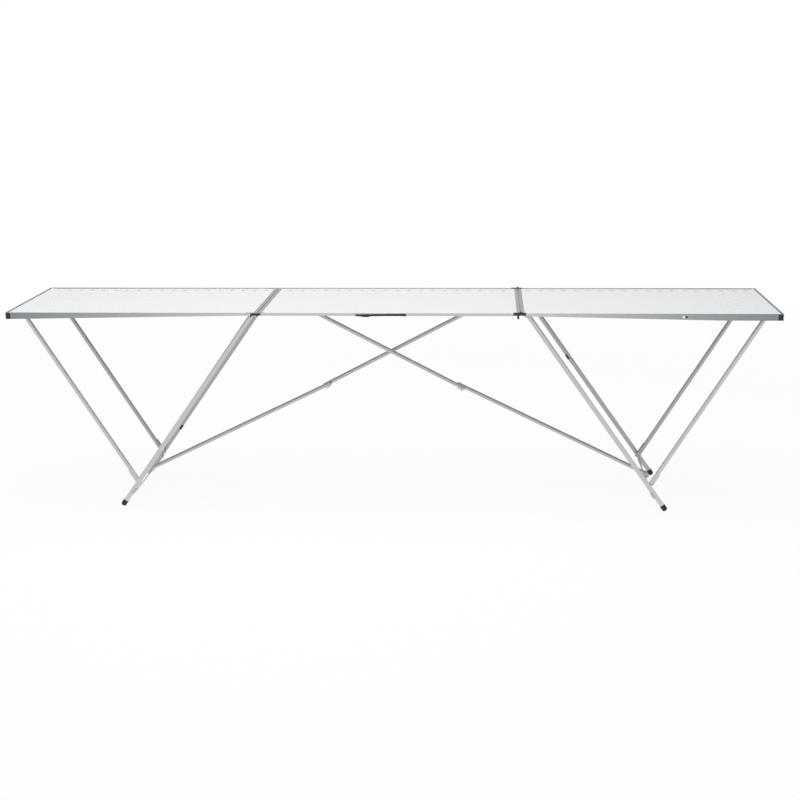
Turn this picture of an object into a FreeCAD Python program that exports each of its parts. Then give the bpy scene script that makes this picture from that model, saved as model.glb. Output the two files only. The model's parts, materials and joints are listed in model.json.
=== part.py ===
"""Three-panel folding trestle table: framed boards, splayed tube legs, hooked struts and clipped braces.

Millimetres, +Z up, the origin on the floor under the middle of the table.
The right side is drawn first; the left side is the same set of pieces turned half round about Z.
"""
import FreeCAD
import Part
import Sketcher
import math
import os
import re

# Driving sizes, each written once
SIZES = {
    "table_length": 3000, "table_width": 600, "table_height": 804, "center_length": 1016,
    "board_thickness": 4, "lip_thickness": 1.2, "lip_width": 5, "hinge_lip_width": 14,
    "rail_wall": 1.6, "ledge_width": 12, "ledge_thickness": 1.2, "end_ledge_width": 5,
    "apron_depth": 10, "end_apron_depth": 25, "left_taper_run": 928, "right_taper_run": 740,
    "left_gap": 2.4, "right_gap": 1, "corner_cap_size": 20, "corner_radius": 4,
    "block_length": 28, "right_block_length": 20, "left_block_length": 44, "block_width": 14,
    "link_thickness": 5, "link_center_inset": 10, "link_outer_inset": 38, "link_end_clearance": 0.6,
    "link_pivot_depth": 5, "link_radius": 4.6, "knuckle_rise": 2.5, "knuckle_radius": 4,
    "right_block_depth": 8, "right_block_rise": 2, "hinge_pin_radius": 2.5,
    "stop_tab_width": 8, "stop_tab_drop": 14, "stop_tab_inset": 5,
    "side_clearance": 0.3, "pin_clearance": 0.05,
    "leg_diameter": 19, "strut_diameter": 18, "brace_diameter": 16, "tube_wall": 1.2,
    "leg_pivot_inset": 29.5, "leg_edge_inset": 55, "leg_length": 960, "tube_overhang": 5, "insert_length": 16,
    "foot_radius": 10, "foot_chamfer": 4, "foot_length": 34, "stow_clearance": 1.5,
    "strut_pivot_inset": 45, "strut_beside_leg": 27, "stud_from_foot": 112, "stud_radius": 4, "stud_root": 1,
    "tongue_thickness": 4, "tongue_length": 60, "tongue_width": 18, "tongue_end": 10, "tongue_gap": 0.5,
    "hook_slant": 33, "hook_clearance": 0.3,
    "crossbar_from_foot": 68, "crossbar_width": 22, "crossbar_thickness": 3,
    "brace_from_foot": 96, "brace_upper_pivot": 375, "brace_upper_length": 716, "knee_sag": 11,
    "upper_lane": 26, "knee_lap": 35,
    "pivot_pin_radius": 3, "bracket_wall": 2, "bracket_clearance": 0.4, "bracket_reach": 11.2, "bracket_drop": 7,
    "clip_length": 22, "clip_start": 6, "clip_wall": 2.5, "clip_bore_clearance": 1, "clip_rise": 5,
    "handle_middle": -29, "handle_length": 196, "handle_grip_radius": 2, "handle_grip_depth": 8.9, "handle_edge": 3,
    "handle_left_depth": 5, "handle_right_depth": 1.8, "handle_bar_height": 6.4, "handle_end": 8, "handle_bulge": 3,
    "handle_bulge_start": 20, "handle_bulge_length": 30, "handle_window_room": 0.6,
    "handle_arm_inset": 12, "handle_arm_width": 9, "handle_arm_thickness": 4,
    "handle_travel": 30, "handle_stop_length": 4, "handle_stop_width": 14,
    "guide_length": 20, "guide_wall": 2, "guide_setback": 0.3,
}

doc = FreeCAD.newDocument("FoldingTable")
sheet = doc.addObject("Spreadsheet::Sheet", "Sizes")
for row, (alias, number) in enumerate(SIZES.items(), start=1):
    sheet.set(f"A{row}", alias)
    sheet.set(f"B{row}", str(number))
    sheet.setAlias(f"B{row}", alias)
doc.recompute()

Vector = FreeCAD.Vector
Placement = FreeCAD.Placement
ALONG_Y = Vector(0, 1, 0)
ALONG_Z = Vector(0, 0, 1)
HALF_TURN = 180


def turned(axis, degrees, base=Vector()):
    """A placement that turns about an axis and then moves to the base point."""
    return Placement(base, FreeCAD.Rotation(axis, degrees))


SIDES = {"right": Placement(), "left": turned(ALONG_Z, HALF_TURN)}


def size(alias):
    """A driving size as a plain number."""
    return float(sheet.get(alias))


def bound(text):
    """The expression with each alias tied to the sheet."""
    return re.sub(r"[a-z_]+", lambda word: "Sizes." + word[0] if word[0] in SIZES else word[0], text)


def tie(item, **sizes):
    """Bind properties of an object to expressions of the sheet's sizes."""
    for name, text in sizes.items():
        item.setExpression(name, bound(text))


# Sizes that follow from the driving ones
hinge_x = size("center_length") / 2
half_length = size("table_length") / 2
half_width = size("table_width") / 2
top = size("table_height")
lip = size("lip_thickness")
wall = size("rail_wall")
board_bottom = lip + size("board_thickness")
leg_radius = size("leg_diameter") / 2
strut_radius = size("strut_diameter") / 2
brace_radius = size("brace_diameter") / 2
leg_length = size("leg_length")
leg_lane = half_width - size("leg_edge_inset")
strut_lane = leg_lane - size("strut_beside_leg")
leg_pivot = Vector(hinge_x + size("leg_pivot_inset"), 0, top - board_bottom - size("stow_clearance") - leg_radius)
# The leg's slope puts the low edge of the foot's end circle on the floor
foot_end_radius = size("foot_radius") - size("foot_chamfer")
foot_reach = math.hypot(leg_length, foot_end_radius)
leg_angle = math.degrees(math.asin(leg_pivot.z / foot_reach) - math.atan2(foot_end_radius, leg_length))
LEG = turned(ALONG_Y, leg_angle, leg_pivot)
stud_along = leg_length - size("stud_from_foot")
brace_along = leg_length - size("brace_from_foot")
crossbar_end = leg_length - size("crossbar_from_foot")
stud = LEG.multVec(Vector(stud_along, 0, 0))
strut_pivot = Vector(half_length - size("strut_pivot_inset"), 0,
                     top - board_bottom - size("stow_clearance") - strut_radius)
strut_length = (stud - strut_pivot).Length
strut_angle = math.degrees(math.atan2(strut_pivot.z - stud.z, strut_pivot.x - stud.x))
# The brace's knee hangs a little below the straight line between its two pivots
brace_foot = LEG.multVec(Vector(brace_along, 0, 0))
brace_top = Vector(-size("brace_upper_pivot"), 0, top - board_bottom - size("stow_clearance") - brace_radius)
brace_line = (brace_foot - brace_top).normalize()
below_line = ALONG_Y.cross(brace_line)
knee = brace_top + brace_line * size("brace_upper_length") + below_line * size("knee_sag")
upper_length = (knee - brace_top).Length
upper_angle = math.degrees(math.atan2(brace_top.z - knee.z, knee.x - brace_top.x))
lower_length = (knee - brace_foot).Length
lower_angle = math.degrees(math.atan2(knee.z - brace_foot.z, brace_foot.x - knee.x))

nodes = []


def keep(item, label, placement=None):
    """Name a finished sub-part and, where given, move it to its place."""
    item.Label = label
    if placement is not None:
        item.Placement = placement
    nodes.append(item)
    return item


def box(low, high):
    """A plain block between two corners."""
    block = doc.addObject("Part::Box", "block")
    block.Length = high[0] - low[0]
    block.Width = high[1] - low[1]
    block.Height = high[2] - low[2]
    block.Placement = Placement(Vector(*low), FreeCAD.Rotation())
    return block


def rod(radius, length, start, direction):
    """A round bar of a bound radius from a start point along a direction."""
    bar = doc.addObject("Part::Cylinder", "rod")
    tie(bar, Radius=radius)
    bar.Height = length
    bar.Placement = Placement(start, FreeCAD.Rotation(ALONG_Z, direction))
    return bar


def cross_pin(radius, across, height, low_y, high_y):
    """A round bar along Y through a point of the side view."""
    return rod(radius, high_y - low_y, Vector(across, low_y, height), ALONG_Y)


def joined(*pieces):
    """Pieces fused into one solid."""
    union = doc.addObject("Part::MultiFuse", "union")
    union.Shapes = list(pieces)
    union.Refine = True
    return union


def cut(base, *tools):
    """A base with tools taken out of it."""
    difference = doc.addObject("Part::Cut", "difference")
    difference.Base = base
    difference.Tool = tools[0] if len(tools) == 1 else joined(*tools)
    difference.Refine = True
    return difference


def group(*pieces):
    """Separate solids kept together as one sub-part."""
    bundle = doc.addObject("Part::Compound", "bundle")
    bundle.Links = list(pieces)
    return bundle


def plane_of(body, role):
    """One of a body's own origin planes."""
    return next(feature for feature in body.Origin.OriginFeatures if feature.Role == role)


def outlined(body, role, corners):
    """A closed sketch whose every corner is placed by two expressions."""
    sketch = body.newObject("Sketcher::SketchObject", "outline")
    sketch.AttachmentSupport = [(plane_of(body, role), "")]
    sketch.MapMode = "FlatFace"
    spots = [[float(sketch.evalExpression(bound(text))) for text in corner] for corner in corners]
    points = [Vector(across, up, 0) for across, up in spots]
    count = len(points)
    for index in range(count):
        sketch.addGeometry(Part.LineSegment(points[index], points[(index + 1) % count]), False)
    for index in range(count):
        sketch.addConstraint(Sketcher.Constraint("Coincident", index, 2, (index + 1) % count, 1))
    for index, corner in enumerate(corners):
        for kind, text, spot in zip(("DistanceX", "DistanceY"), corner, spots[index]):
            place = sketch.addConstraint(Sketcher.Constraint(kind, -1, 1, index, 1, spot))
            sketch.setExpression(f"Constraints[{place}]", bound(text))
    return sketch


def padded(role, corners, length):
    """A body with one sketch carried straight along its plane's normal."""
    body = doc.addObject("PartDesign::Body", "body")
    pad = body.newObject("PartDesign::Pad", "pad")
    pad.Profile = outlined(body, role, corners)
    tie(pad, Length=length)
    body.Tip = pad
    return body


def pocketed(body, role, corners):
    """Cut a sketch right through a body, both ways from its plane."""
    pocket = body.newObject("PartDesign::Pocket", "pocket")
    pocket.Profile = outlined(body, role, corners)
    pocket.Type = 1
    pocket.Midplane = True
    body.Tip = pocket
    return body


def channel(inward, depth, lip_size, ledge):
    """Corners of a rail's section: outer wall, top lip, board slot and the ledge under the board."""
    slot_low = "-lip_thickness - board_thickness"
    ledge_low = slot_low + " - ledge_thickness"
    return [("0", "0"), (inward + lip_size, "0"), (inward + lip_size, "-lip_thickness"),
            (inward + "rail_wall", "-lip_thickness"), (inward + "rail_wall", slot_low),
            (inward + ledge, slot_low), (inward + ledge, ledge_low), (inward + "rail_wall", ledge_low),
            (inward + "rail_wall", "-" + depth), ("0", "-" + depth)]


def end_rail(label, face, inward, depth, lip_size, ledge, length, side):
    """A rail across the table, drawn in the side view and carried both ways along Y."""
    rail = padded("XZ_Plane", channel(inward, depth, lip_size, ledge), length)
    rail.Tip.Midplane = True
    keep(rail, label, SIDES[side].multiply(Placement(Vector(face, 0, top), FreeCAD.Rotation())))


def center_frame():
    """Board and four rails of the middle panel."""
    for name, edge, inward in (("front", -half_width, ""), ("rear", half_width, "-")):
        rail = padded("YZ_Plane", channel(inward, "apron_depth", "lip_width", "ledge_width"),
                      "center_length - 2 * block_length")
        rail.Placement = Placement(Vector(size("block_length") - hinge_x, edge, top), FreeCAD.Rotation())
        keep(cut(rail, handle_window()) if name == "front" else rail, f"center_{name}_rail")
    for side in SIDES:
        end_rail(f"center_{side}_hinge_rail", hinge_x - size(side + "_gap") / 2, "-", "apron_depth",
                 "hinge_lip_width", "hinge_lip_width", "table_width - 2 * block_width", side)
    ends = {"": "(center_length / 2 - right_gap / 2 - rail_wall)",
            "-": "-(center_length / 2 - left_gap / 2 - rail_wall)"}
    step = "(center_length / 2 - block_length)"
    edge = "(table_width / 2 - rail_wall)"
    inset = "(table_width / 2 - block_width)"
    corners = [(ends["-"], "-" + inset), ("-" + step, "-" + inset), ("-" + step, "-" + edge),
               (step, "-" + edge), (step, "-" + inset), (ends[""], "-" + inset),
               (ends[""], inset), (step, inset), (step, edge),
               ("-" + step, edge), ("-" + step, inset), (ends["-"], inset)]
    board = padded("XY_Plane", corners, "board_thickness")
    keep(board, "center_board", Placement(Vector(0, 0, top - board_bottom), FreeCAD.Rotation()))


def handle_window():
    """The part of the front rail's wall that is left out for the handle."""
    half = size("handle_length") / 2 + size("handle_window_room")
    middle = size("handle_middle")
    return box((middle - half, -half_width, top - size("apron_depth")),
               (middle + half, wall - half_width, top - lip))


def outer_frame(side):
    """Board, tapered side rails, end rails and corner caps of an outer panel."""
    place = SIDES[side]
    names = ("front", "rear") if side == "right" else ("rear", "front")
    run = side + "_taper_run"
    length = f"table_length / 2 - center_length / 2 - {side}_block_length"
    for name, edge, inward in ((names[0], -half_width, ""), (names[1], half_width, "-")):
        rail = padded("YZ_Plane", channel(inward, "end_apron_depth", "lip_width", "ledge_width"), length)
        pocketed(rail, "XZ_Plane", [("0", "-apron_depth"), (run, "-end_apron_depth"),
                                    (run, "-2 * end_apron_depth"), ("0", "-2 * end_apron_depth")])
        cap_start = length + " - corner_cap_size"
        cap_end = length + " + corner_cap_size"
        pocketed(rail, "XZ_Plane", [(cap_start, "-lip_thickness"), (cap_end, "-lip_thickness"),
                                    (cap_end, "-2 * end_apron_depth"), (cap_start, "-2 * end_apron_depth")])
        start = Vector(hinge_x + size(side + "_block_length"), edge, top)
        keep(rail, f"{side}_{name}_rail", place.multiply(Placement(start, FreeCAD.Rotation())))
    end_rail(f"{side}_outer_rail", half_length, "-", "end_apron_depth", "lip_width", "end_ledge_width",
             "table_width - 2 * corner_cap_size", side)
    end_rail(f"{side}_hinge_rail", hinge_x + size(side + "_gap") / 2, "", "apron_depth",
             "hinge_lip_width", "hinge_lip_width", "table_width - 2 * block_width", side)
    near = f"center_length / 2 + {side}_gap / 2 + rail_wall"
    step = f"center_length / 2 + {side}_block_length"
    far = "table_length / 2 - rail_wall"
    edge = "(table_width / 2 - rail_wall)"
    inset = "(table_width / 2 - block_width)"
    corners = [(near, "-" + inset), (step, "-" + inset), (step, "-" + edge), (far, "-" + edge),
               (far, edge), (step, edge), (step, inset), (near, inset)]
    board = padded("XY_Plane", corners, "board_thickness")
    keep(board, f"{side}_board", place.multiply(Placement(Vector(0, 0, top - board_bottom), FreeCAD.Rotation())))
    keep(group(corner_cap(-1), corner_cap(1)), f"{side}_corner_caps", place)


def corner_cap(end):
    """A moulded corner with a round outer edge, slotted for the board and cleared for the rail's lip."""
    cap = size("corner_cap_size")
    radius = size("corner_radius")
    low = top - size("end_apron_depth")

    def block(inset_x, inset_y, reach, bottom, height):
        """A block of the corner between insets from the two outer faces."""
        ys = sorted((end * (half_width - inset_y), end * (half_width - reach)))
        return box((half_length - reach, ys[0], bottom), (half_length - inset_x, ys[1], height))

    round_edge = rod("corner_radius", top - low, Vector(half_length - radius, end * (half_width - radius), low),
                     ALONG_Z)
    solid = joined(block(radius, 0, cap, low, top), block(0, radius, cap, low, top), round_edge)
    slot = block(wall, wall, cap, top - board_bottom, top - lip)
    over_board = block(size("lip_width"), size("lip_width"), cap, top - lip, top)
    ys = sorted((end * half_width, end * (half_width - size("lip_width"))))
    under_lip = box((half_length - cap, ys[0], top - lip), (half_length, ys[1], top))
    return cut(solid, slot, over_board, under_lip)


def lane(end, start, stop):
    """The two Y values of a strip at given distances inside the table's edge, in rising order."""
    return sorted((end * (half_width - start), end * (half_width - stop)))


def hinge_block(side, toward, end, start, near, low, high):
    """A hinge block at one corner of a panel: toward is -1 on the middle panel and 1 on the outer one."""
    far = size("block_length") if toward < 0 else size(side + "_block_length")
    xs = sorted((hinge_x + toward * near, hinge_x + toward * far))
    ys = lane(end, start, size("block_width"))
    return box((xs[0], ys[0], low), (xs[1], ys[1], high))


def left_hinge():
    """Double-pivot hinge: a link across the joint at each edge, on a pin moulded into either panel's block."""
    blocks = {-1: [], 1: []}
    links = []
    height = top - size("link_pivot_depth")
    low = top - size("apron_depth")
    radius = size("link_radius")
    insets = {-1: size("link_center_inset"), 1: size("link_outer_inset")}
    for end in (-1, 1):
        plate = lane(end, 0, size("link_thickness"))
        deep = lane(end, 0, size("block_width"))
        bosses = []
        holes = []
        for toward, inset in insets.items():
            spot = hinge_x + toward * inset
            past_link = inset + radius + size("link_end_clearance")
            behind = hinge_block("left", toward, end, size("link_thickness") + size("side_clearance"),
                                 size("left_gap") / 2, low, top)
            beyond = hinge_block("left", toward, end, 0, past_link, low, top)
            pin = cross_pin("hinge_pin_radius", spot, height, *deep)
            blocks[toward].append(joined(behind, beyond, pin))
            bosses.append(cross_pin("link_radius", spot, height, *plate))
            holes.append(cross_pin("hinge_pin_radius + pin_clearance", spot, height, *plate))
        bar = box((hinge_x - insets[-1], plate[0], height - radius), (hinge_x + insets[1], plate[1], height + radius))
        links.append(cut(joined(bar, *bosses), *holes))
    keep(group(*links), "left_hinge_links", SIDES["left"])
    for toward, name in ((-1, "center"), (1, "outer")):
        keep(group(*blocks[toward]), f"left_hinge_{name}_blocks", SIDES["left"])


def right_hinge():
    """Top-pivot hinge: a knuckle on each panel's block above the boards, with the middle one's pin and stop tab."""
    blocks = {-1: [], 1: []}
    height = top + size("knuckle_rise")
    block_low = top - size("right_block_depth")
    block_high = top + size("right_block_rise")
    radius = size("knuckle_radius")
    middle = size("block_width") / 2
    gap = size("side_clearance") / 2
    for end in (-1, 1):
        lanes = {-1: lane(end, 0, middle - gap), 1: lane(end, middle + gap, size("block_width"))}
        full = lane(end, 0, size("block_width"))
        for toward in (-1, 1):
            own = lanes[toward]
            xs = sorted((hinge_x + toward * size("right_gap") / 2, hinge_x + toward * 2 * radius))
            neck = box((xs[0], own[0], top - radius), (xs[1], own[1], height))
            knuckle = cross_pin("knuckle_radius", hinge_x, height, *own)
            block = hinge_block("right", toward, end, 0, size("right_gap") / 2, block_low, block_high)
            pieces = [cut(block, cross_pin("knuckle_radius + side_clearance", hinge_x, height, *lanes[-toward]))]
            pieces += [neck, knuckle]
            if toward < 0:
                block = joined(*pieces, *stop_tab(own), cross_pin("hinge_pin_radius", hinge_x, height, *full))
            else:
                block = cut(joined(*pieces), cross_pin("hinge_pin_radius + pin_clearance", hinge_x, height, *full))
            blocks[toward].append(block)
    for toward, name in ((-1, "center"), (1, "outer")):
        keep(group(*blocks[toward]), f"right_hinge_{name}_blocks")


def stop_tab(ys):
    """The round-ended tab that hangs below the middle panel's block at the right joint."""
    reach = size("stop_tab_width")
    right = hinge_x - size("right_gap") / 2 - size("stop_tab_inset")
    low = top - size("right_block_depth") - size("stop_tab_drop") + reach / 2
    plate = box((right - reach, ys[0], low), (right, ys[1], top - size("right_block_depth")))
    return [plate, cross_pin("stop_tab_width / 2", right - reach / 2, low, *ys)]


def tube(diameter, length):
    """A tube along +X with its pivot hole at the origin, through the solid insert in its end, and an open far end."""
    radius = size(diameter) / 2
    overhang = size("tube_overhang")
    insert = size("insert_length")
    forward = Vector(1, 0, 0)
    outside = rod(diameter + " / 2", length + overhang, Vector(-overhang, 0, 0), forward)
    bore = rod(diameter + " / 2 - tube_wall", length - insert, Vector(insert, 0, 0), forward)
    pivot_hole = cross_pin("pivot_pin_radius + pin_clearance", 0, 0, -2 * radius, 2 * radius)
    return cut(outside, bore, pivot_hole)


def pivot_bracket(spot, y, radius, end):
    """A bracket under a board: cheeks beside a tube's end, a plate across on the end side, and the riveted pin."""
    inner = radius + size("bracket_clearance")
    outer = inner + size("bracket_wall")
    reach = size("bracket_reach")
    low = spot.z - size("bracket_drop")
    high = top - board_bottom
    plate = end * (reach + size("bracket_wall"))
    xs = sorted((spot.x + plate, spot.x - end * reach))
    inside = sorted((spot.x + end * reach, spot.x - end * 2 * reach))
    shell = box((xs[0], y - outer, low), (xs[1], y + outer, high))
    room = box((inside[0], y - inner, low - reach), (inside[1], y + inner, high + reach))
    return joined(cut(shell, room), cross_pin("pivot_pin_radius", spot.x, spot.z, y - outer, y + outer))


def leg_set(side):
    """A trestle leg: two splayed tubes on pivots under the outer board, studs, a flat crossbar and feet."""
    place = SIDES[side]
    names = {-1: "front", 1: "rear"} if side == "right" else {-1: "rear", 1: "front"}
    turned_leg = place.multiply(LEG)
    tube_length = leg_length - size("foot_length")
    brackets, feet = [], []
    for end in (-1, 1):
        y = end * leg_lane
        stud_ys = sorted((end * (strut_lane + strut_radius + size("tongue_gap")) - y,
                          end * (size("stud_root") - leg_radius)))
        leg = joined(tube("leg_diameter", tube_length), cross_pin("stud_radius", stud_along, 0, *stud_ys))
        keep(leg, f"{side}_leg_{names[end]}_tube", turned_leg.multiply(Placement(Vector(0, y, 0), FreeCAD.Rotation())))
        feet.append(foot(Vector(tube_length, y, 0)))
        brackets.append(pivot_bracket(leg_pivot, y, leg_radius, -1))
    keep(group(*feet), f"{side}_leg_feet", turned_leg)
    keep(group(*brackets), f"{side}_leg_brackets", place)
    bar_half = leg_lane + leg_radius
    crossbar = box((crossbar_end - size("crossbar_width"), -bar_half, -leg_radius - size("crossbar_thickness")),
                   (crossbar_end, bar_half, -leg_radius))
    keep(crossbar, f"{side}_leg_crossbar", turned_leg.multiply(crossbar.Placement))
    keep(clevis(), f"{side}_brace_clevis", turned_leg)


def foot(start):
    """A rubber foot turned about the leg's axis: a sleeve on the tube's end with a chamfered tip."""
    body = doc.addObject("PartDesign::Body", "body")
    turn = body.newObject("PartDesign::Revolution", "turn")
    turn.Profile = outlined(body, "XZ_Plane", [
        ("0", "0"), ("foot_length", "0"), ("foot_length", "foot_radius - foot_chamfer"),
        ("foot_length - foot_chamfer", "foot_radius"), ("0", "foot_radius")])
    turn.ReferenceAxis = (plane_of(body, "X_Axis"), [""])
    body.Tip = turn
    body.Placement = Placement(start, FreeCAD.Rotation())
    return body


def clevis():
    """Two cheeks on the crossbar with a riveted pin that holds the brace's foot."""
    reach = size("bracket_drop")
    inner = brace_radius + size("bracket_clearance")
    outer = inner + size("bracket_wall")
    far = crossbar_end - size("crossbar_width") / 2
    cheeks = [box((brace_along - reach, near, -leg_radius), (far, near + size("bracket_wall"), reach))
              for near in (-outer, inner)]
    return joined(*cheeks, cross_pin("pivot_pin_radius", brace_along, 0, -outer, outer))


def strut_set(side):
    """Two struts on pivots near the outer end, each with a side-open hook on the leg's stud."""
    place = SIDES[side]
    names = {-1: "front", 1: "rear"} if side == "right" else {-1: "rear", 1: "front"}
    brackets = []
    for end in (-1, 1):
        y = end * strut_lane
        frame = turned(ALONG_Y, HALF_TURN - strut_angle, strut_pivot + Vector(0, y, 0))
        low = strut_radius - size("stud_root")
        ys = sorted((end * low, end * (low + size("tongue_thickness"))))
        half = size("tongue_width") / 2
        plate = box((strut_length - size("tongue_length"), ys[0], -half),
                    (strut_length + size("tongue_end"), ys[1], half))
        seat_radius = size("stud_radius") + size("hook_clearance")
        mouth = box((-seat_radius, ys[0] - 1, 0), (seat_radius, ys[1] + 1, 2 * half))
        mouth.Placement = turned(ALONG_Y, -size("hook_slant"), Vector(strut_length, 0, 0)).multiply(mouth.Placement)
        seat = cross_pin("stud_radius + hook_clearance", strut_length, 0, ys[0] - 1, ys[1] + 1)
        strut = joined(tube("strut_diameter", strut_length - size("tongue_end")), cut(plate, seat, mouth))
        keep(strut, f"{side}_strut_{names[end]}", place.multiply(frame))
        brackets.append(pivot_bracket(strut_pivot, y, strut_radius, 1))
    keep(group(*brackets), f"{side}_strut_brackets", place)


def brace_set(side):
    """A cross brace in two halves: one pivots on the middle board, one on the leg, joined by a snap clip."""
    place = SIDES[side]
    upper = tube("brace_diameter", upper_length + size("knee_lap"))
    upper_frame = place.multiply(turned(ALONG_Y, upper_angle, brace_top - Vector(0, size("upper_lane"), 0)))
    keep(upper, f"{side}_brace_upper_tube", upper_frame)
    keep(snap_clip(), f"{side}_brace_clip", upper_frame)
    lower = tube("brace_diameter", lower_length)
    lower_frame = turned(ALONG_Y, HALF_TURN + lower_angle, brace_foot)
    keep(lower, f"{side}_brace_lower_tube", place.multiply(lower_frame))


def snap_clip():
    """A moulded clip with a snap seat for the upper half and an open square cradle beside it for the lower half."""
    start = upper_length + size("clip_start")
    length = size("clip_length")
    forward = Vector(1, 0, 0)
    offset = size("upper_lane")
    cradle = brace_radius + size("clip_bore_clearance")
    wall_size = size("clip_wall")
    rise = size("clip_rise")
    block = box((start, -brace_radius - wall_size, -cradle - wall_size),
                (start + length, offset + cradle + wall_size, rise))
    mouth = box((start, offset - cradle, -cradle), (start + length, offset + cradle, rise))
    return cut(block, rod("brace_diameter / 2", length, Vector(start, 0, 0), forward), mouth)


def brace_tops():
    """Brackets of both braces under the middle board."""
    brackets = []
    for place in SIDES.values():
        bracket = pivot_bracket(brace_top, -size("upper_lane"), brace_radius, -1)
        bracket.Placement = place
        brackets.append(bracket)
    keep(group(*brackets), "brace_top_brackets")


def carry_handle():
    """A slim pull-out handle in the front rail's window: a slanted face, a round grip and two arms in guides."""
    half = size("handle_length") / 2
    middle = size("handle_middle")
    y = size("handle_edge") - half_width
    height = top - size("handle_grip_depth")
    arm = size("handle_arm_width") / 2
    thick = size("handle_arm_thickness") / 2
    room = size("side_clearance")
    rim = size("guide_wall")
    guide_start = size("ledge_width") + size("guide_setback") - half_width
    guide_end = guide_start + size("guide_length")
    stop_start = guide_end + size("handle_travel") + room
    stop_half = size("handle_stop_width") / 2
    start = "handle_middle - handle_length / 2"
    stop = "handle_middle + handle_length / 2"
    left_low = "-handle_left_depth - handle_bar_height"
    right_low = "-handle_right_depth - handle_bar_height - side_clearance"
    bulge_low = left_low + " - handle_bulge"
    bulge = start + " + handle_bulge_start"
    face = padded("XZ_Plane", [
        (start, "-handle_left_depth"), (stop + " - handle_end", "-handle_right_depth"),
        (stop, "-handle_left_depth"), (stop, left_low), (stop + " - handle_end / 2", left_low),
        (stop + " - handle_end", right_low), (bulge + " + handle_bulge_length + handle_end", left_low),
        (bulge + " + handle_bulge_length", bulge_low), (bulge + " + handle_end", bulge_low), (bulge, left_low),
        (start, left_low)], "rail_wall - side_clearance")
    face.Placement = Placement(Vector(0, wall - room - half_width, top), FreeCAD.Rotation())
    pieces = [face, rod("handle_grip_radius", 2 * half, Vector(middle - half, y, height), Vector(1, 0, 0))]
    guides = []
    for end in (-1, 1):
        x = middle + end * (half - size("handle_arm_inset"))
        pieces.append(box((x - arm, y, height - thick), (x + arm, stop_start, height + thick)))
        pieces.append(box((x - stop_half, stop_start, height - thick),
                          (x + stop_half, stop_start + size("handle_stop_length"), height + thick)))
        shell = box((x - arm - room - rim, guide_start, height - thick - room - rim),
                    (x + arm + room + rim, guide_end, top - board_bottom))
        slot = box((x - arm - room, guide_start - 1, height - thick - room),
                   (x + arm + room, guide_end + 1, height + thick + room))
        guides.append(cut(shell, slot))
    keep(joined(*pieces), "carry_handle")
    keep(group(*guides), "handle_guides")


center_frame()
left_hinge()
right_hinge()
brace_tops()
carry_handle()
for table_side in SIDES:
    outer_frame(table_side)
    leg_set(table_side)
    strut_set(table_side)
    brace_set(table_side)
doc.recompute()

for item in doc.Objects:
    if "Invalid" in item.State or "Error" in item.State:
        raise RuntimeError(f"{item.Label} failed: {item.State}")
os.makedirs("parts", exist_ok=True)
for node in nodes:
    if node.Shape.isNull() or not node.Shape.isValid() or not node.Shape.Solids:
        raise RuntimeError(f"{node.Label} has no valid solid")
    node.Shape.exportStep(f"parts/{node.Label}.step")
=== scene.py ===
"""Finishes for a three-panel folding trestle table, laid out as an add-on and run as a script."""
import json
import math

import bmesh
import bpy
import numpy as np
from bpy.props import FloatProperty, FloatVectorProperty, PointerProperty
from mathutils import Matrix, Vector


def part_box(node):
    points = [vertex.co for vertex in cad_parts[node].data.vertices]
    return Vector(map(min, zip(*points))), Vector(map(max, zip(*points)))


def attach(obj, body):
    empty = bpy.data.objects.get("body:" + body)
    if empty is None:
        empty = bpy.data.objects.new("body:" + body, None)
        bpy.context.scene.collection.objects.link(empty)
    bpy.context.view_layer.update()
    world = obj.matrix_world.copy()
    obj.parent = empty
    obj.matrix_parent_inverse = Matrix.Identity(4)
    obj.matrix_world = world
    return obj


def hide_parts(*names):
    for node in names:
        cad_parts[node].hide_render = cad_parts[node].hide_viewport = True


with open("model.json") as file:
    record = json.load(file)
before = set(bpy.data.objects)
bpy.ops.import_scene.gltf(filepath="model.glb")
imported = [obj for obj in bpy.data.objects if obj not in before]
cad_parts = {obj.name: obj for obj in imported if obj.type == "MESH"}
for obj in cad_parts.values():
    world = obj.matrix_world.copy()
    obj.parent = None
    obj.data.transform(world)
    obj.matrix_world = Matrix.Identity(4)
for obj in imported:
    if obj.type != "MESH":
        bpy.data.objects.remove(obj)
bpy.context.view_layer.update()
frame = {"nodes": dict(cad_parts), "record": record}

bl_info = {
    "name": "Folding trestle table finishes",
    "version": (1, 0, 0),
    "blender": (4, 5, 0),
    "location": "View3D > Sidebar > Table",
    "description": "Materials, printed scale, rivets, feet, trim and studio for a folding trestle table",
    "category": "Object",
}

NODES = frame["nodes"]
RECORD = frame["record"]
JOINTS = {joint["name"]: joint for joint in RECORD["behaviour"]["joints"]}
SIDES = {"right": 1.0, "left": -1.0}
TOP = float(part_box("center_front_rail")[1][2])
FRONT = float(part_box("center_front_rail")[0][1])
BOARD_TOP = float(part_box("center_board")[1][2])
HALF_LENGTH = float(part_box("right_outer_rail")[1][0])
PHOTO_WIDTH = 800
SENSOR_WIDTH = 36.0
# Sizes of the part that its boxes don't show, in metres. A lane is how far a tube's middle lies from the table's
# middle line, and a reach is how far its bracket stands out to each side.
LEG_LANE, LEG_REACH = 0.245, 0.0119
STRUT_LANE, STRUT_REACH = 0.218, 0.0114
BRACE_LANE, BRACE_REACH = 0.026, 0.0104
LEG_LENGTH, LEG_RADIUS, FOOT_LENGTH = 0.960, 0.0095, 0.034
LIP_WIDTH, STRIP_WIDTH = 0.005, 0.0155
CROSSBAR_HALF, SADDLE_HALF = 0.0015, 0.0105
SLOT_FINISHES = {"laminate": "board_laminate", "aluminium": "tube_aluminium", "plated_steel": "zinc_plating",
                 "black_plastic": "moulded_black", "rubber": "foot_rubber", "clear_plastic": "clip_plastic"}
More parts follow.
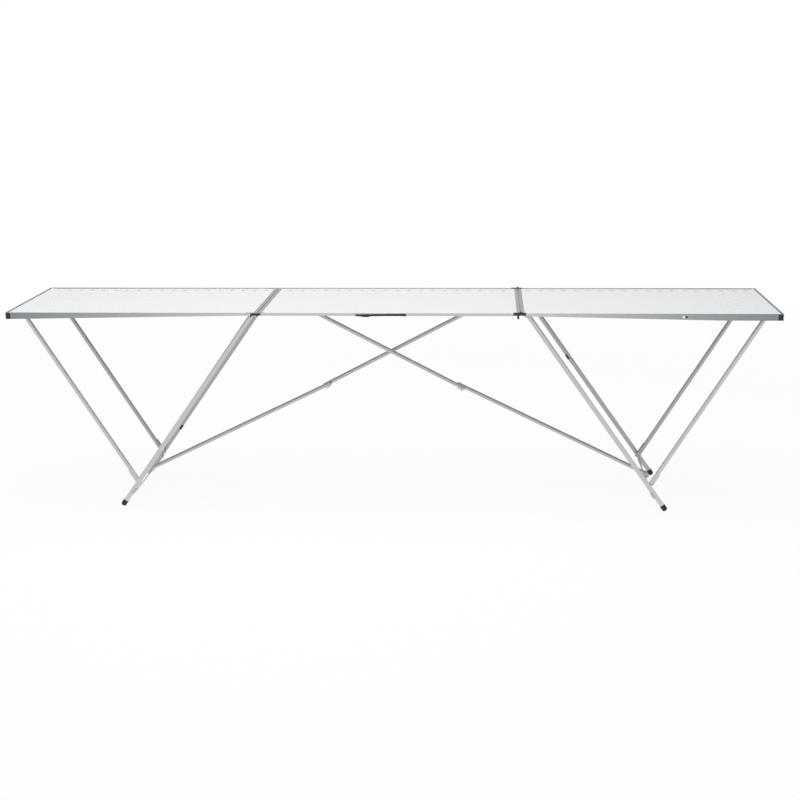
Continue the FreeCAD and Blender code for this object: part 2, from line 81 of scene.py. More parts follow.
# How far a finish's roughness wanders, and how far up a face looks where the painted shade on its top begins and is
# full
ROUGHNESS_WANDER = 0.15
UPWARD_START, UPWARD_FULL = 0.7, 0.95


class TableFinish(bpy.types.PropertyGroup):
    """Sizes and colours of the table that a user would change."""
    laminate: FloatVectorProperty(name="Laminate", description="Colour of the boards", subtype="COLOR",
                                  default=(0.82, 0.82, 0.82))
    tube: FloatVectorProperty(name="Tubes", description="Colour of legs, struts and braces", subtype="COLOR",
                              default=(0.57, 0.585, 0.595))
    # Painted shade: tubes towards the back darken to this colour
    rear_tube: FloatVectorProperty(name="Rear tubes", description="Colour of the tubes at the back", subtype="COLOR",
                                   default=(0.40, 0.415, 0.425))
    rail: FloatVectorProperty(name="Rails", description="Colour of the rails near the joints", subtype="COLOR",
                              default=(0.62, 0.635, 0.645))
    # Painted shade: the rails darken to this colour towards the table's ends
    rail_end: FloatVectorProperty(name="Rail ends", description="Colour of the rails at the table's ends",
                                  subtype="COLOR", default=(0.275, 0.29, 0.30))
    plating: FloatVectorProperty(name="Zinc", description="Colour of brackets and rivets", subtype="COLOR",
                                 default=(0.50, 0.51, 0.52))
    polish: FloatVectorProperty(name="Polished rivets", description="Colour of the side rails' buttons",
                                subtype="COLOR", default=(0.86, 0.87, 0.88))
    plastic: FloatVectorProperty(name="Black plastic", description="Colour of caps, hinges and handle",
                                 subtype="COLOR", default=(0.016, 0.018, 0.020))
    rear_hinge: FloatVectorProperty(name="Rear hinges", description="Colour of the right joint's rear hinges",
                                    subtype="COLOR", default=(0.16, 0.17, 0.175))
    rubber: FloatVectorProperty(name="Rubber", description="Colour of the feet", subtype="COLOR",
                                default=(0.020, 0.022, 0.022))
    clip: FloatVectorProperty(name="Clip plastic", description="Colour of the snap clips", subtype="COLOR",
                              default=(0.94, 0.95, 0.95))
    ink: FloatVectorProperty(name="Scale ink", description="Colour of the printed scale", subtype="COLOR",
                             default=(0.36, 0.37, 0.39))
    short_step: FloatProperty(name="Short step", description="Distance between short marks", unit="LENGTH",
                              default=0.01)
    long_step: FloatProperty(name="Long step", description="Distance between numbered marks", unit="LENGTH",
                             default=0.05)
    short_mark: FloatProperty(name="Short mark", description="Length of a short mark", unit="LENGTH", default=0.008)
    long_mark: FloatProperty(name="Long mark", description="Length of a numbered mark", unit="LENGTH", default=0.018)
    mark_width: FloatProperty(name="Mark width", description="Width of a mark", unit="LENGTH", default=0.0009)
    figure_height: FloatProperty(name="Figure height", description="Height of the printed numbers", unit="LENGTH",
                                 default=0.019)
    lip_width: FloatProperty(name="Rear lip", description="Width of the rear rails' inner lip", unit="LENGTH",
                             default=0.012)
    end_lip_width: FloatProperty(name="End lip", description="Width of the end rails' inner lip", unit="LENGTH",
                                 default=0.004)
    mark_gap: FloatProperty(name="Mark gap", description="Room between the rear lip and the marks", unit="LENGTH",
                            default=0.008)
    ink_thickness: FloatProperty(name="Ink thickness", description="Height of the print above the board",
                                 unit="LENGTH", default=0.00012)
    rivet_radius: FloatProperty(name="Rivet radius", description="Radius of a rivet's head", unit="LENGTH",
                                default=0.0045)


class TableStage(bpy.types.PropertyGroup):
    """Camera, floor and light."""
    eye: FloatVectorProperty(name="Camera place", description="Where the camera stands", unit="LENGTH",
                             default=(0.3747, -5.6426, 1.7861))
    yaw: FloatProperty(name="Yaw", description="Turn of the view to the right, in degrees", default=-3.557)
    pitch: FloatProperty(name="Pitch", description="Tilt of the view below the horizon, in degrees", default=13.897)
    roll: FloatProperty(name="Roll", description="Turn about the view's own axis, in degrees", default=-0.528)
    focal_pixels: FloatProperty(name="Focal length", description="Focal length in pixels of the photograph's frame",
                                default=1414.4)
    floor: FloatVectorProperty(name="Floor", description="Colour of floor and backdrop", subtype="COLOR",
                               default=(0.85, 0.85, 0.85))
    floor_reach: FloatProperty(name="Floor reach", description="Radius of the flat floor", unit="LENGTH",
                               default=14.0)
    cove_radius: FloatProperty(name="Cove radius", description="Radius of the bend into the backdrop",
                               unit="LENGTH", default=4.0)
    world_light: FloatProperty(name="Sky light", description="Strength of the even light", default=0.34)
    lamp_size: FloatProperty(name="Lamp size", description="Side of the square lamp overhead", unit="LENGTH",
                             default=5.0)
    lamp_power: FloatProperty(name="Lamp power", description="Power of the lamp overhead", unit="POWER",
                              default=158.0)


def node_chain(material):
    """The node tree, its shader and a short way to add nodes."""
    material.use_nodes = True
    tree = material.node_tree
    shader = tree.nodes["Principled BSDF"]

    def add(kind, **inputs):
        """A node with some inputs set by name."""
        node = tree.nodes.new(kind)
        for name, value in inputs.items():
            node.inputs[name.replace("_", " ")].default_value = value
        return node

    return tree, shader, add


def finish(name, color, roughness, metallic=0.0, spread=0.06, scale=40.0, bump=0.02, detail_scale=900.0,
           end_color=None, run=None, painted_top_share=1.0, **sockets):
    """A material whose colour and roughness wander with one noise and whose surface has a second, finer one.

    With an end colour, the colour runs along an axis between two distances from the middle (X) or two places (Y), and
    faces that look up keep only a share of it, a painted shade on their tops.
    """
    material = bpy.data.materials.new(name)
    tree, shader, add = node_chain(material)
    link = tree.links.new

    def mapped(value, **limits):
        """A number carried from one span to another."""
        node = add("ShaderNodeMapRange", **limits)
        link(value, node.inputs["Value"])
        return node.outputs["Result"]

    def scaled(tone, factor):
        """A colour times a number."""
        node = add("ShaderNodeVectorMath")
        node.operation = "SCALE"
        link(tone, node.inputs["Vector"])
        link(factor, node.inputs["Scale"])
        return node.outputs["Vector"]

    def split(vector, axis):
        """One part of a vector."""
        node = add("ShaderNodeSeparateXYZ")
        link(vector, node.inputs["Vector"])
        return node.outputs[axis]

    spot = add("ShaderNodeTexCoord")
    place = spot.outputs["Object"]
    broad = add("ShaderNodeTexNoise", Scale=scale, Detail=4.0, Roughness=0.6)
    link(place, broad.inputs["Vector"])
    wander = broad.outputs["Fac"]
    ramp = add("ShaderNodeValToRGB")
    low, high = ramp.color_ramp.elements
    tone = ramp.outputs["Color"]
    if end_color is None:
        low.position, high.position = 0.25, 0.75
        low.color = (*[channel * (1.0 - spread) for channel in color], 1.0)
        high.color = (*[min(1.0, channel * (1.0 + spread)) for channel in color], 1.0)
        link(wander, ramp.inputs["Fac"])
    else:
        axis, start, stop = run
        along = split(place, axis)
        if axis == "X":
            distance = add("ShaderNodeMath")
            distance.operation = "ABSOLUTE"
            link(along, distance.inputs[0])
            along = distance.outputs["Value"]
        low.color = (*color, 1.0)
        high.color = (*end_color, 1.0)
        link(mapped(along, From_Min=start, From_Max=stop), ramp.inputs["Fac"])
        tone = scaled(tone, mapped(wander, To_Min=1.0 - spread, To_Max=1.0 + spread))
        # Painted shade: faces that look up keep only a share of their colour
        tone = scaled(tone, mapped(split(spot.outputs["Normal"], "Z"), From_Min=UPWARD_START, From_Max=UPWARD_FULL,
                                   To_Min=1.0, To_Max=painted_top_share))
    link(tone, shader.inputs["Base Color"])
    rough = mapped(wander, To_Min=roughness * (1.0 - ROUGHNESS_WANDER), To_Max=roughness * (1.0 + ROUGHNESS_WANDER))
    link(rough, shader.inputs["Roughness"])
    fine = add("ShaderNodeTexNoise", Scale=detail_scale, Detail=3.0)
    link(place, fine.inputs["Vector"])
    relief = add("ShaderNodeBump", Strength=bump, Distance=0.0004)
    link(fine.outputs["Fac"], relief.inputs["Height"])
    link(relief.outputs["Normal"], shader.inputs["Normal"])
    shader.inputs["Metallic"].default_value = metallic
    for socket, value in sockets.items():
        shader.inputs[socket.replace("_", " ")].default_value = value
    return material


def materials():
    """The table's finishes by name, made once."""
    style = bpy.context.scene.table_finish
    if "scale_ink" not in bpy.data.materials:
        finish("board_laminate", style.laminate, 0.50, spread=0.015, scale=6.0, bump=0.02, detail_scale=700.0,
               Specular_IOR_Level=0.22)
        # The tubes darken from front to back, a painted shade on the rear tubes
        finish("tube_aluminium", style.tube, 0.30, metallic=1.0, spread=0.04, scale=30.0, bump=0.0,
               end_color=style.rear_tube, run=("Y", -LEG_LANE, LEG_LANE))
        # The rails darken towards the table's ends and on faces that look up, both painted shade
        finish("rail_aluminium", style.rail, 0.40, metallic=1.0, spread=0.05, scale=22.0, bump=0.004,
               end_color=style.rail_end, run=("X", 0.55, HALF_LENGTH), painted_top_share=0.72)
        finish("zinc_plating", style.plating, 0.36, metallic=1.0, spread=0.10, scale=60.0, bump=0.02)
        finish("polished_rivet", style.polish, 0.22, metallic=1.0, spread=0.04, scale=90.0, bump=0.01)
        finish("moulded_black", style.plastic, 0.42, spread=0.25, scale=50.0, bump=0.10, detail_scale=1400.0)
        finish("hinge_black", style.plastic, 0.42, spread=0.15, scale=50.0, bump=0.05, end_color=style.rear_hinge,
               run=("Y", 0.0, LEG_LANE))
        finish("foot_rubber", style.rubber, 0.62, spread=0.3, scale=70.0, bump=0.15)
        finish("clip_plastic", style.clip, 0.18, spread=0.02, scale=60.0, bump=0.02, Transmission_Weight=0.9,
               IOR=1.04)
        finish("scale_ink", style.ink, 0.55, spread=0.10, scale=120.0, bump=0.02, Specular_IOR_Level=0.22)
    return bpy.data.materials


def ring_mesh(name, grids):
    """A mesh of patches of points, shape (count, rows, columns, 3), with faces between neighbours in rows and columns.

    The last column of a patch joins its first.
    """
    index = np.arange(grids[..., 0].size).reshape(grids.shape[:3])
    right = np.roll(index, -1, axis=2)
    quads = np.stack([index[:, :-1], right[:, :-1], right[:, 1:], index[:, 1:]], axis=-1).reshape(-1, 4)
    mesh = bpy.data.meshes.new(name)
    mesh.from_pydata(grids.reshape(-1, 3).tolist(), [], quads.tolist())
    return mesh


def shell(name, grids, body, finish_name):
    """One piece from closed patches of points, as in ring_mesh.

    A row whose points fall together is merged into a pole. The piece rides a body and takes the named finish.
    """
    mesh = ring_mesh(name, grids)
    tidy = bmesh.new()
    tidy.from_mesh(mesh)
    bmesh.ops.remove_doubles(tidy, verts=tidy.verts, dist=1e-7)
    bmesh.ops.recalc_face_normals(tidy, faces=tidy.faces)
    tidy.to_mesh(mesh)
    tidy.free()
    mesh.materials.append(materials()[finish_name])
    piece = bpy.data.objects.new(name, mesh)
    bpy.context.collection.objects.link(piece)
    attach(piece, body)
    return piece


def turned(profile, places, axes, sides=24):
    """Closed turned shapes: place + radius(row) * (cos, sin) round the axis + height(row) * axis."""
    places = np.asarray(places, dtype=float)
    axes = np.asarray(axes, dtype=float)
    # X helps to find a direction square to an axis, or Y where the axis lies nearly along X
    helper = np.where(abs(axes[:, :1]) < 0.9, [[1.0, 0.0, 0.0]], [[0.0, 1.0, 0.0]])
    first = np.cross(axes, helper)
    first /= np.linalg.norm(first, axis=1, keepdims=True)
    second = np.cross(axes, first)
    turn = np.linspace(0.0, 2.0 * math.pi, sides, endpoint=False)[:, None]
    ring = np.cos(turn) * first[:, None] + np.sin(turn) * second[:, None]
    radius, height = np.asarray(profile, dtype=float).T
    return (places[:, None, None] + radius[None, :, None, None] * ring[:, None]
            + height[None, :, None, None] * axes[:, None, None])


def slabs(outlines, low, high, origin, across, up):
    """Closed slabs on a plane: convex outlines (count, corners, 2) between two heights along across x up.

    The rows of a slab are its bottom middle, bottom edge, top edge and top middle.
    """
    outlines = np.asarray(outlines, dtype=float)
    across, up = np.asarray(across, dtype=float), np.asarray(up, dtype=float)
    middle = np.broadcast_to(outlines.mean(axis=1, keepdims=True), outlines.shape)
    flat = np.stack([middle, outlines, outlines, middle], axis=1)
    level = np.array([low, low, high, high])[None, :, None, None]
    return (np.asarray(origin, dtype=float) + flat[..., :1] * across + flat[..., 1:] * up
            + level * np.cross(across, up))


def strokes(starts, ends, width):
    """Outlines of straight strokes: half a width to each side of every line."""
    starts, ends = np.asarray(starts, dtype=float), np.asarray(ends, dtype=float)
    along = (ends - starts) / np.linalg.norm(ends - starts, axis=1, keepdims=True)
    side = np.stack([-along[:, 1], along[:, 0]], axis=1) * width / 2
    return np.stack([starts - side, ends - side, ends + side, starts + side], axis=1)


def board_span(board):
    """Where a board shows between its lips, along X."""
    low, high = (float(corner[0]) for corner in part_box(f"{board}_board"))
    return max(low + STRIP_WIDTH, LIP_WIDTH - HALF_LENGTH), min(high - STRIP_WIDTH, HALF_LENGTH - LIP_WIDTH)


def leg_frame(side):
    """Pivot of a leg, the direction down its tubes and the direction out of the table, square to them."""
    joint = JOINTS[f"{side}_leg_fold"]
    slope = math.radians(joint["range_deg"][1])
    pivot = np.array(joint["pos_m"])
    down = np.array([SIDES[side] * math.cos(slope), 0.0, -math.sin(slope)])
    outward = np.array([SIDES[side] * math.sin(slope), 0.0, math.cos(slope)])
    return pivot, down, outward


class TABLE_OT_finishes(bpy.types.Operator):
    """Give every CAD node the finish of its own slot"""
    bl_idname = "table.finishes"
    bl_label = "Finishes"

    def execute(self, context):
        finishes = materials()
        for row in RECORD["subparts"]:
            node, slot = row["node"], row["material_slot"]
            chosen = SLOT_FINISHES[slot]
            if slot == "aluminium" and (node.endswith("rail") or "hinge" in node):
                chosen = "rail_aluminium"
            elif slot == "black_plastic" and "hinge" in node:
                chosen = "hinge_black"
            mesh = NODES[node].data
            mesh.materials.clear()
            mesh.materials.append(finishes[chosen])
        return {"FINISHED"}


class TABLE_OT_inner_lips(bpy.types.Operator):
    """Lay the rails' wider inner lips along the rear and the two ends of the boards"""
    bl_idname = "table.inner_lips"
    bl_label = "Inner lips"

    # How much of a lip's width is flat on top, and how much of its rise its inner side has
    FLAT_SHARE, SIDE_SHARE = 0.7, 0.5

    def execute(self, context):
        style = context.scene.table_finish
        rear = -FRONT - LIP_WIDTH
        for board in ("left", "center", "right"):
            start, stop = board_span(board)
            grids = slabs([self.section(rear, style.lip_width)], start, stop, (0, 0, BOARD_TOP), (0, 1, 0), (0, 0, 1))
            shell(f"rear_lip_{board}", grids, f"{board}_panel", "rail_aluminium")
        for side, sign in SIDES.items():
            grids = slabs([self.section(HALF_LENGTH - LIP_WIDTH, style.end_lip_width)], style.lip_width - rear, rear,
                          (0, 0, BOARD_TOP), (sign, 0, 0), (0, 0, 1)) * (1, sign, 1)
            shell(f"end_lip_{side}", grids, f"{side}_panel", "rail_aluminium")
        return {"FINISHED"}

    def section(self, edge, width):
        """Outline of a lip against a rail's edge: a low inner side that slopes up to the rail's height."""
        rise = TOP - BOARD_TOP
        return [(edge - width, 0.0), (edge, 0.0), (edge, rise), (edge - self.FLAT_SHARE * width, rise),
                (edge - width, self.SIDE_SHARE * rise)]


class TABLE_OT_scale(bpy.types.Operator):
    """Print a centimetre scale along the rear edge of each board"""
    bl_idname = "table.scale"
    bl_label = "Printed scale"

    # Strokes of a plain figure on a grid one wide and two high, and the strokes of each digit
    STROKES = {"a": ((0, 2), (1, 2)), "b": ((1, 2), (1, 1)), "c": ((1, 1), (1, 0)), "d": ((0, 0), (1, 0)),
               "e": ((0, 1), (0, 0)), "f": ((0, 2), (0, 1)), "g": ((0, 1), (1, 1))}
    DIGITS = ("abcdef", "bc", "abged", "abgcd", "fgbc", "afgcd", "afgedc", "abc", "abcdefg", "abcfgd")
    # Step from digit to digit and width of one, in half heights of a figure
    DIGIT_STEP, DIGIT_WIDTH = 0.66, 0.42
    # From the marks' start to a figure's top in long marks, and a figure's stroke in mark widths
    FIGURE_DROP, FIGURE_STROKE = 1.6, 1.6

    def execute(self, context):
        style = context.scene.table_finish
        rear = -FRONT - LIP_WIDTH - style.lip_width - style.mark_gap
        for board in ("left", "center", "right"):
            start, stop = board_span(board)
            outlines = np.concatenate([self.marks(style, start, stop, rear), self.figures(style, start, stop, rear)])
            grids = slabs(outlines, 0.0, style.ink_thickness, (0, 0, BOARD_TOP), (1, 0, 0), (0, 1, 0))
            shell(f"printed_scale_{board}", grids, f"{board}_panel", "scale_ink")
        return {"FINISHED"}

    def spots(self, step, start, stop):
        """X values at whole steps from the table's left end, between two limits."""
        steps = np.arange(1, round(2 * HALF_LENGTH / step)) * step
        across = steps - HALF_LENGTH
        return across[(across > start) & (across < stop)]

    def marks(self, style, start, stop, rear):
        """Short and long strokes square to the rear edge."""
        across = self.spots(style.short_step, start, stop)
        gap = np.abs(across - self.spots(style.long_step, start, stop)[:, None]).min(axis=0)
        length = np.where(gap < 0.5 * style.short_step, style.long_mark, style.short_mark)
        return strokes(np.stack([across, np.full_like(across, rear)], axis=1),
                       np.stack([across, rear - length], axis=1), style.mark_width)

    def figures(self, style, start, stop, rear):
        """Numbers of centimetres from the table's left end, below the long marks."""
        unit = style.figure_height / 2
        step = self.DIGIT_STEP * unit
        foot = rear - self.FIGURE_DROP * style.long_mark - style.figure_height
        begin, end = [], []
        for across in self.spots(style.long_step, start + unit, stop - unit):
            digits = str(round((across + HALF_LENGTH) * 100))
            for place, digit in enumerate(digits):
                left = across + (place - len(digits) / 2) * step
                for stroke in self.DIGITS[int(digit)]:
                    for ends, spot in zip((begin, end), self.STROKES[stroke]):
                        ends.append((left + spot[0] * self.DIGIT_WIDTH * unit, foot + spot[1] * unit))
        return strokes(begin, end, self.FIGURE_STROKE * style.mark_width)


class TABLE_OT_rivets(bpy.types.Operator):
    """Set domed rivet heads on brackets, clevises and crossbars, and a button with its plug on two side rails"""
    bl_idname = "table.rivets"
    bl_label = "Rivets"

    # Radius and height of a head's profile, in radii of the head
    DOME = ((0, 0), (1, 0), (0.97, 0.16), (0.82, 0.30), (0.5, 0.40), (0, 0.43))
    # A button's distance from the table's middle, its depth below the top and its size against a rivet
    BUTTON_ALONG, BUTTON_DEPTH, BUTTON_SIZE = 1.126, 0.0120, 1.1
    PLUG_STEP = 0.0096

    def execute(self, context):
        dome = np.multiply(self.DOME, context.scene.table_finish.rivet_radius)
        places = {}
        for side, sign in SIDES.items():
            pivot, _, outward = leg_frame(side)
            strut = np.array(JOINTS[f"{side}_front_strut_fold"]["pos_m"])
            panel = places.setdefault(f"{side}_panel", [])
            for end in (-1, 1):
                panel += self.pair(pivot, end * LEG_LANE, LEG_REACH)
                panel += self.pair(strut, end * STRUT_LANE, STRUT_REACH)
            button = np.array([(sign * self.BUTTON_ALONG, sign * FRONT, TOP - self.BUTTON_DEPTH)])
            face = [(0, -sign, 0)]
            shell(f"{side}_rail_button", turned(self.BUTTON_SIZE * dome, button, face), f"{side}_panel",
                  "polished_rivet")
            shell(f"{side}_rail_plug", turned(dome, button + (sign * self.PLUG_STEP, 0, 0), face), f"{side}_panel",
                  "moulded_black")
            low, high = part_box(f"{side}_leg_crossbar")
            middle = (np.array(low) + np.array(high)) / 2 - CROSSBAR_HALF * outward
            leg = places.setdefault(f"{side}_leg", [])
            leg += [(middle + (0, end * LEG_LANE, 0), -outward) for end in (-1, 1)]
            leg += self.pair(np.array(JOINTS[f"{side}_lower_brace_fold"]["pos_m"]), 0, BRACE_REACH)
            brace = np.array(JOINTS[f"{side}_upper_brace_fold"]["pos_m"])
            places.setdefault("center_panel", []).extend(self.pair(brace, -sign * BRACE_LANE, BRACE_REACH))
        for body, heads in places.items():
            spots, axes = zip(*heads)
            shell(f"rivet_heads_{body}", turned(dome, spots, axes), body, "zinc_plating")
        return {"FINISHED"}

    def pair(self, spot, lane, reach):
        """Heads on both ends of a pin across a bracket."""
        return [(spot + (0, lane + end * reach, 0), (0, end, 0)) for end in (-1, 1)]


class TABLE_OT_saddles(bpy.types.Operator):
    """Bed the round leg tubes on their flat crossbars with small saddles"""
    bl_idname = "table.saddles"
    bl_label = "Crossbar saddles"

    # Angles round the tube, in degrees from the seat, between which half a saddle fills the wedge, and its rows
    START, STOP, ROWS = 8.0, 82.0, 12

    def execute(self, context):
        for side in SIDES:
            _, down, outward = leg_frame(side)
            low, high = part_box(f"{side}_leg_crossbar")
            seat = (np.array(low) + np.array(high)) / 2 + CROSSBAR_HALF * outward
            grids = [self.wedge(seat + (0, end * LEG_LANE, 0), hand, outward, down)
                     for end in (-1, 1) for hand in (-1, 1)]
            shell(f"{side}_crossbar_saddles", np.stack(grids), f"{side}_leg", "zinc_plating")
        return {"FINISHED"}

    def wedge(self, seat, hand, outward, down):
        """Half a saddle: r sin t aside, from the flat seat up to the tube at r - r cos t, across the crossbar."""
        turn = np.radians(np.linspace(self.START, self.STOP, self.ROWS))
        aside = LEG_RADIUS * np.sin(turn)
        rise = LEG_RADIUS * (1.0 - np.cos(turn))
        flat = np.zeros_like(rise)
        section = np.stack([flat, rise, rise, flat], axis=1)
        length = np.array([-1.0, -1.0, 1.0, 1.0]) * SADDLE_HALF
        beside = np.array([0.0, hand, 0.0])
        rows = seat + aside[:, None, None] * beside + section[..., None] * outward + length[None, :, None] * down
        ends = [np.broadcast_to(row.mean(axis=0), (1, 4, 3)) for row in (rows[0], rows[-1])]
        return np.concatenate([ends[0], rows, ends[1]])


class TABLE_OT_feet(bpy.types.Operator):
    """Turn the rubber feet: a grooved sleeve with a softened tip, in place of the plain CAD feet"""
    bl_idname = "table.feet"
    bl_label = "Feet"

    # Radius and distance below the tube's end, for the sleeve and for the collar that lengthens the tube above it
    SLEEVE = ((0.0, 0.0085), (0.0096, 0.0085), (0.0104, 0.0090), (0.0106, 0.0100), (0.0106, 0.0124),
              (0.0100, 0.0130), (0.0100, 0.0138), (0.0106, 0.0144), (0.0106, 0.0168), (0.0100, 0.0174),
              (0.0100, 0.0182), (0.0106, 0.0188), (0.0107, 0.0284), (0.0104, 0.0296), (0.0096, 0.0306),
              (0.0064, 0.0336), (0.0058, 0.0339), (0.0050, 0.0340), (0.0, 0.0340))
    COLLAR = ((0.0, 0.0), (LEG_RADIUS, 0.0), (LEG_RADIUS, 0.0086), (0.0, 0.0086))
    ROUND_SIDES = 40

    def execute(self, context):
        for side in SIDES:
            pivot, down, _ = leg_frame(side)
            start = pivot + (LEG_LENGTH - FOOT_LENGTH) * down
            ends = [start + (0, end * LEG_LANE, 0) for end in (-1, 1)]
            sleeves, collars = (turned(profile, ends, [down, down], self.ROUND_SIDES)
                                for profile in (self.SLEEVE, self.COLLAR))
            feet = shell(f"{side}_rubber_feet", sleeves, f"{side}_leg", "foot_rubber")
            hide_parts(f"{side}_leg_feet")
            shell(f"{side}_tube_collars", collars, f"{side}_leg", "tube_aluminium")
        return {"FINISHED"}


class TABLE_OT_hinge_covers(bpy.types.Operator):
    """Clip the black covers with a hooked end and a small tab onto the left joint's links"""
    bl_idname = "table.hinge_covers"
    bl_label = "Hinge covers"

    # Outlines of a cover's bar, hook and tab: distances along the table from the joint and up from the top
    BAR = ((-0.026, -0.0086), (-0.024, -0.0092), (0.011, -0.0092), (0.013, -0.0080), (0.013, -0.0018),
           (0.011, -0.0008), (-0.024, -0.0008), (-0.026, -0.0016))
    HOOK = ((-0.026, -0.0080), (-0.0285, -0.0125), (-0.0290, -0.0150), (-0.0272, -0.0162), (-0.0245, -0.0155),
            (-0.0215, -0.0105), (-0.0205, -0.0086), (-0.0215, -0.0060))
    TAB = ((-0.0020, -0.0080), (-0.0016, -0.0128), (-0.0006, -0.0140), (0.0018, -0.0140), (0.0028, -0.0128),
           (0.0032, -0.0080), (0.0020, -0.0070), (-0.0008, -0.0070))
    DEPTH = 0.0014

    def execute(self, context):
        joint = float(np.mean([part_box("center_board")[0][0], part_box("left_board")[1][0]]))
        outlines = (self.BAR, self.HOOK, self.TAB)
        across, up = (1, 0, 0), (0, 0, 1)
        grids = np.concatenate([slabs(outlines, 0.0, self.DEPTH, (joint, FRONT, TOP), across, up),
                                slabs(outlines, -self.DEPTH, 0.0, (joint, -FRONT, TOP), across, up)])
        shell("left_hinge_covers", grids, "left_links", "moulded_black")
        return {"FINISHED"}


class TABLE_OT_tube_buffers(bpy.types.Operator):
    """Snap a small black buffer part way round each rear leg tube"""
    bl_idname = "table.tube_buffers"
    bl_label = "Tube buffers"

    # How far down the tube a buffer sits, and the shares of its direction to the front and to the leg's inner side
    PLACES = {"right": 0.324, "left": 0.714}
    FORWARD, INWARD = 0.77, 0.64
    # A buffer's angle to each side in degrees, its rows, and its section: height over the tube and place along it
    HALF_ANGLE, ROWS = 34.0, 15
    SECTION = ((0.0, -0.012), (0.0012, -0.0105), (0.0012, 0.0105), (0.0, 0.012))

    def execute(self, context):
        for side, along in self.PLACES.items():
            pivot, down, outward = leg_frame(side)
            middle = pivot + (0, LEG_LANE, 0) + along * down
            toward = np.array([0.0, -self.FORWARD, 0.0]) - self.INWARD * outward
            grid = self.arc(middle, down, toward, np.cross(toward, down))
            shell(f"{side}_tube_buffer", grid, f"{side}_leg", "moulded_black")
        return {"FINISHED"}

    def arc(self, middle, down, toward, beside):
        """A block's section carried round the tube: middle + r * (cos t * toward + sin t * beside) + h * down.

        At both ends the section shrinks to its middle.
        """
        section = np.array(self.SECTION) + (LEG_RADIUS, 0.0)
        section = np.stack([np.broadcast_to(section.mean(axis=0), section.shape), section])
        rows = section[np.r_[0, np.ones(self.ROWS, dtype=int), 0]]
        turn = np.radians(np.linspace(-self.HALF_ANGLE, self.HALF_ANGLE, self.ROWS))
        turn = np.r_[turn[0], turn, turn[-1]]
        ring = np.cos(turn)[:, None] * toward + np.sin(turn)[:, None] * beside
        return (middle + rows[..., :1] * ring[:, None] + rows[..., 1:] * down)[None]


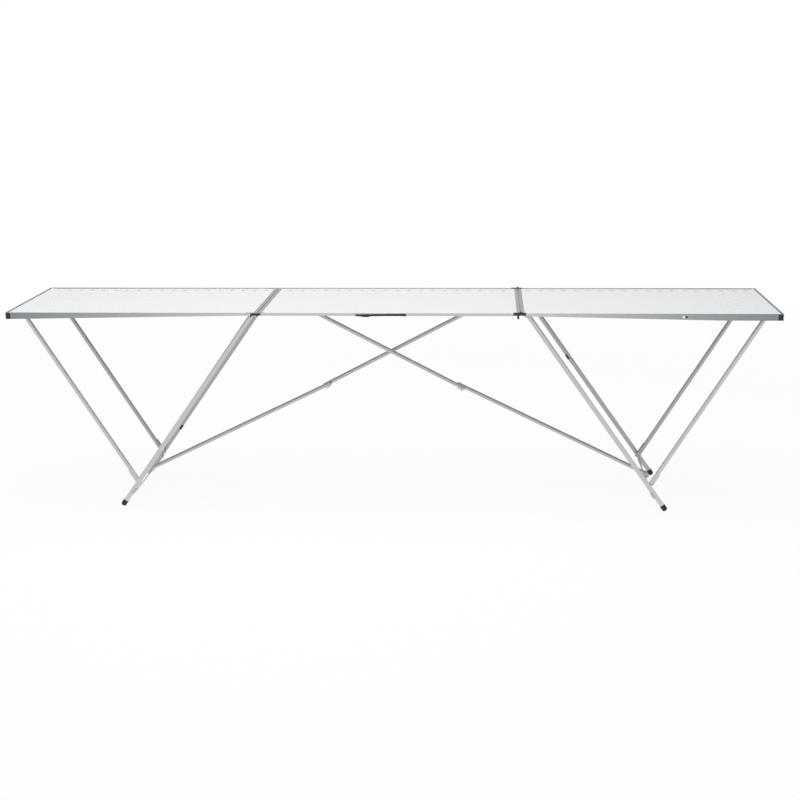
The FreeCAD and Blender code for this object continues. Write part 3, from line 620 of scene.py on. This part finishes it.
class TABLE_OT_stage(bpy.types.Operator):
    """Pale floor that runs up into a backdrop all round, one soft lamp, and the camera at the photograph's angle"""
    bl_idname = "table.stage"
    bl_label = "Stage"

    # Rows of the cove's bend, sides of the round floor, and the wall's height in cove radii
    BEND_ROWS, FLOOR_SIDES, WALL_SHARE = 13, 96, 2.1
    # Up to the first distance from the middle the floor keeps some shadow, and from the second on it is plain white.
    # The glow's share near the table and its strength follow.
    SHADOW_REACH, WHITE_REACH = 2.5, 7.0
    NEAR_SHARE, GLOW = 0.90, 1.02
    LAMP_PLACE, LAMP_TARGET = Vector((-0.4, -0.6, 4.2)), Vector((-0.1, 0.0, 0.6))
    VIEW_REACH = 200.0

    def execute(self, context):
        stage = context.scene.table_stage
        scene = context.scene
        scene.view_settings.view_transform = "Standard"
        self.floor(stage)
        self.world(scene, stage)
        self.lamp(stage)
        self.camera(scene, stage)
        return {"FINISHED"}

    def floor(self, stage):
        """Floor and backdrop turned about Z: flat to the floor's reach, a quarter bend, then an upright wall."""
        reach, cove = stage.floor_reach, stage.cove_radius
        bend = np.linspace(0.0, math.pi / 2, self.BEND_ROWS)
        radius = np.r_[0.0, reach + cove * np.sin(bend), reach + cove]
        height = np.r_[0.0, cove * (1.0 - np.cos(bend)), self.WALL_SHARE * cove]
        turn = np.linspace(0.0, 2.0 * math.pi, self.FLOOR_SIDES, endpoint=False)
        points = np.stack([radius[:, None] * np.cos(turn), radius[:, None] * np.sin(turn),
                           np.repeat(height[:, None], len(turn), axis=1)], axis=-1)
        mesh = ring_mesh("floor", points[None])
        mesh.polygons.foreach_set("use_smooth", np.ones(len(mesh.polygons), dtype=bool))
        floor = bpy.data.objects.new("floor", mesh)
        bpy.context.collection.objects.link(floor)
        mesh.materials.append(self.paper(stage))

    def paper(self, stage):
        """Matt paper that glows white to the camera and in reflections, and near the table keeps its shadow."""
        paper = bpy.data.materials.new("floor_paper")
        tree, shader, add = node_chain(paper)
        link = tree.links.new
        shader.inputs["Base Color"].default_value = (*stage.floor, 1.0)
        shader.inputs["Roughness"].default_value = 0.9
        path = add("ShaderNodeLightPath")
        seen = path.outputs["Is Camera Ray"]
        for ray in ("Is Glossy Ray", "Is Transmission Ray"):
            either = add("ShaderNodeMath")
            either.operation = "MAXIMUM"
            link(seen, either.inputs[0])
            link(path.outputs[ray], either.inputs[1])
            seen = either.outputs["Value"]
        spot = add("ShaderNodeTexCoord")
        reach = add("ShaderNodeVectorMath")
        reach.operation = "LENGTH"
        link(spot.outputs["Object"], reach.inputs[0])
        white = add("ShaderNodeMapRange", From_Min=self.SHADOW_REACH, From_Max=self.WHITE_REACH,
                    To_Min=self.NEAR_SHARE, To_Max=1.0)
        link(reach.outputs["Value"], white.inputs["Value"])
        share = add("ShaderNodeMath")
        share.operation = "MULTIPLY"
        link(seen, share.inputs[0])
        link(white.outputs["Result"], share.inputs[1])
        glow = add("ShaderNodeEmission", Color=(1.0, 1.0, 1.0, 1.0), Strength=self.GLOW)
        mix = add("ShaderNodeMixShader")
        link(share.outputs["Value"], mix.inputs["Fac"])
        link(shader.outputs["BSDF"], mix.inputs[1])
        link(glow.outputs["Emission"], mix.inputs[2])
        link(mix.outputs["Shader"], tree.nodes["Material Output"].inputs["Surface"])
        return paper

    def world(self, scene, stage):
        """Even light from above the backdrop."""
        world = bpy.data.worlds.new("studio")
        scene.world = world
        world.use_nodes = True
        back = world.node_tree.nodes["Background"]
        back.inputs["Color"].default_value = (1.0, 1.0, 1.0, 1.0)
        back.inputs["Strength"].default_value = stage.world_light

    def lamp(self, stage):
        """One broad soft box overhead, a little to the left and in front."""
        data = bpy.data.lights.new("overhead", "AREA")
        data.size = stage.lamp_size
        data.energy = stage.lamp_power
        lamp = bpy.data.objects.new("overhead", data)
        lamp.location = self.LAMP_PLACE
        lamp.rotation_euler = (self.LAMP_TARGET - self.LAMP_PLACE).to_track_quat("-Z", "Y").to_euler()
        bpy.context.collection.objects.link(lamp)

    def camera(self, scene, stage):
        """The photograph's camera from its place, three angles and focal length."""
        yaw, pitch, roll = (math.radians(angle) for angle in (stage.yaw, stage.pitch, stage.roll))
        ahead = Vector((math.sin(yaw) * math.cos(pitch), math.cos(yaw) * math.cos(pitch), -math.sin(pitch)))
        level = Vector((math.cos(yaw), -math.sin(yaw), 0.0))
        up = level.cross(ahead)
        right = level * math.cos(roll) + up * math.sin(roll)
        upright = up * math.cos(roll) - level * math.sin(roll)
        data = bpy.data.cameras.new("camera")
        data.sensor_width = SENSOR_WIDTH
        data.lens = stage.focal_pixels / PHOTO_WIDTH * SENSOR_WIDTH
        data.clip_end = self.VIEW_REACH
        camera = bpy.data.objects.new("camera", data)
        turn = Matrix((right, upright, -ahead)).transposed().to_4x4()
        camera.matrix_world = Matrix.Translation(stage.eye) @ turn
        bpy.context.collection.objects.link(camera)
        scene.camera = camera


OPERATORS = (TABLE_OT_finishes, TABLE_OT_inner_lips, TABLE_OT_scale, TABLE_OT_rivets, TABLE_OT_saddles,
             TABLE_OT_feet, TABLE_OT_hinge_covers, TABLE_OT_tube_buffers, TABLE_OT_stage)


class TABLE_PT_sidebar(bpy.types.Panel):
    """The table's operators and settings in the sidebar"""
    bl_idname = "TABLE_PT_sidebar"
    bl_label = "Folding table"
    bl_space_type = "VIEW_3D"
    bl_region_type = "UI"
    bl_category = "Table"

    def draw(self, context):
        for operator in OPERATORS:
            self.layout.operator(operator.bl_idname)
        for settings in (context.scene.table_finish, context.scene.table_stage):
            for name in settings.__annotations__:
                self.layout.prop(settings, name)


CLASSES = (TableFinish, TableStage, *OPERATORS, TABLE_PT_sidebar)


def register():
    """Register the classes and hang the settings on the scene."""
    for cls in CLASSES:
        bpy.utils.register_class(cls)
    bpy.types.Scene.table_finish = PointerProperty(type=TableFinish)
    bpy.types.Scene.table_stage = PointerProperty(type=TableStage)


def unregister():
    """Take the settings and classes away again."""
    del bpy.types.Scene.table_stage
    del bpy.types.Scene.table_finish
    for cls in reversed(CLASSES):
        bpy.utils.unregister_class(cls)


def main():
    """Dress the table and set the stage."""
    register()
    for operator in OPERATORS:
        group, name = operator.bl_idname.split(".")
        getattr(getattr(bpy.ops, group), name)()


if __name__ == "__main__":
    main()
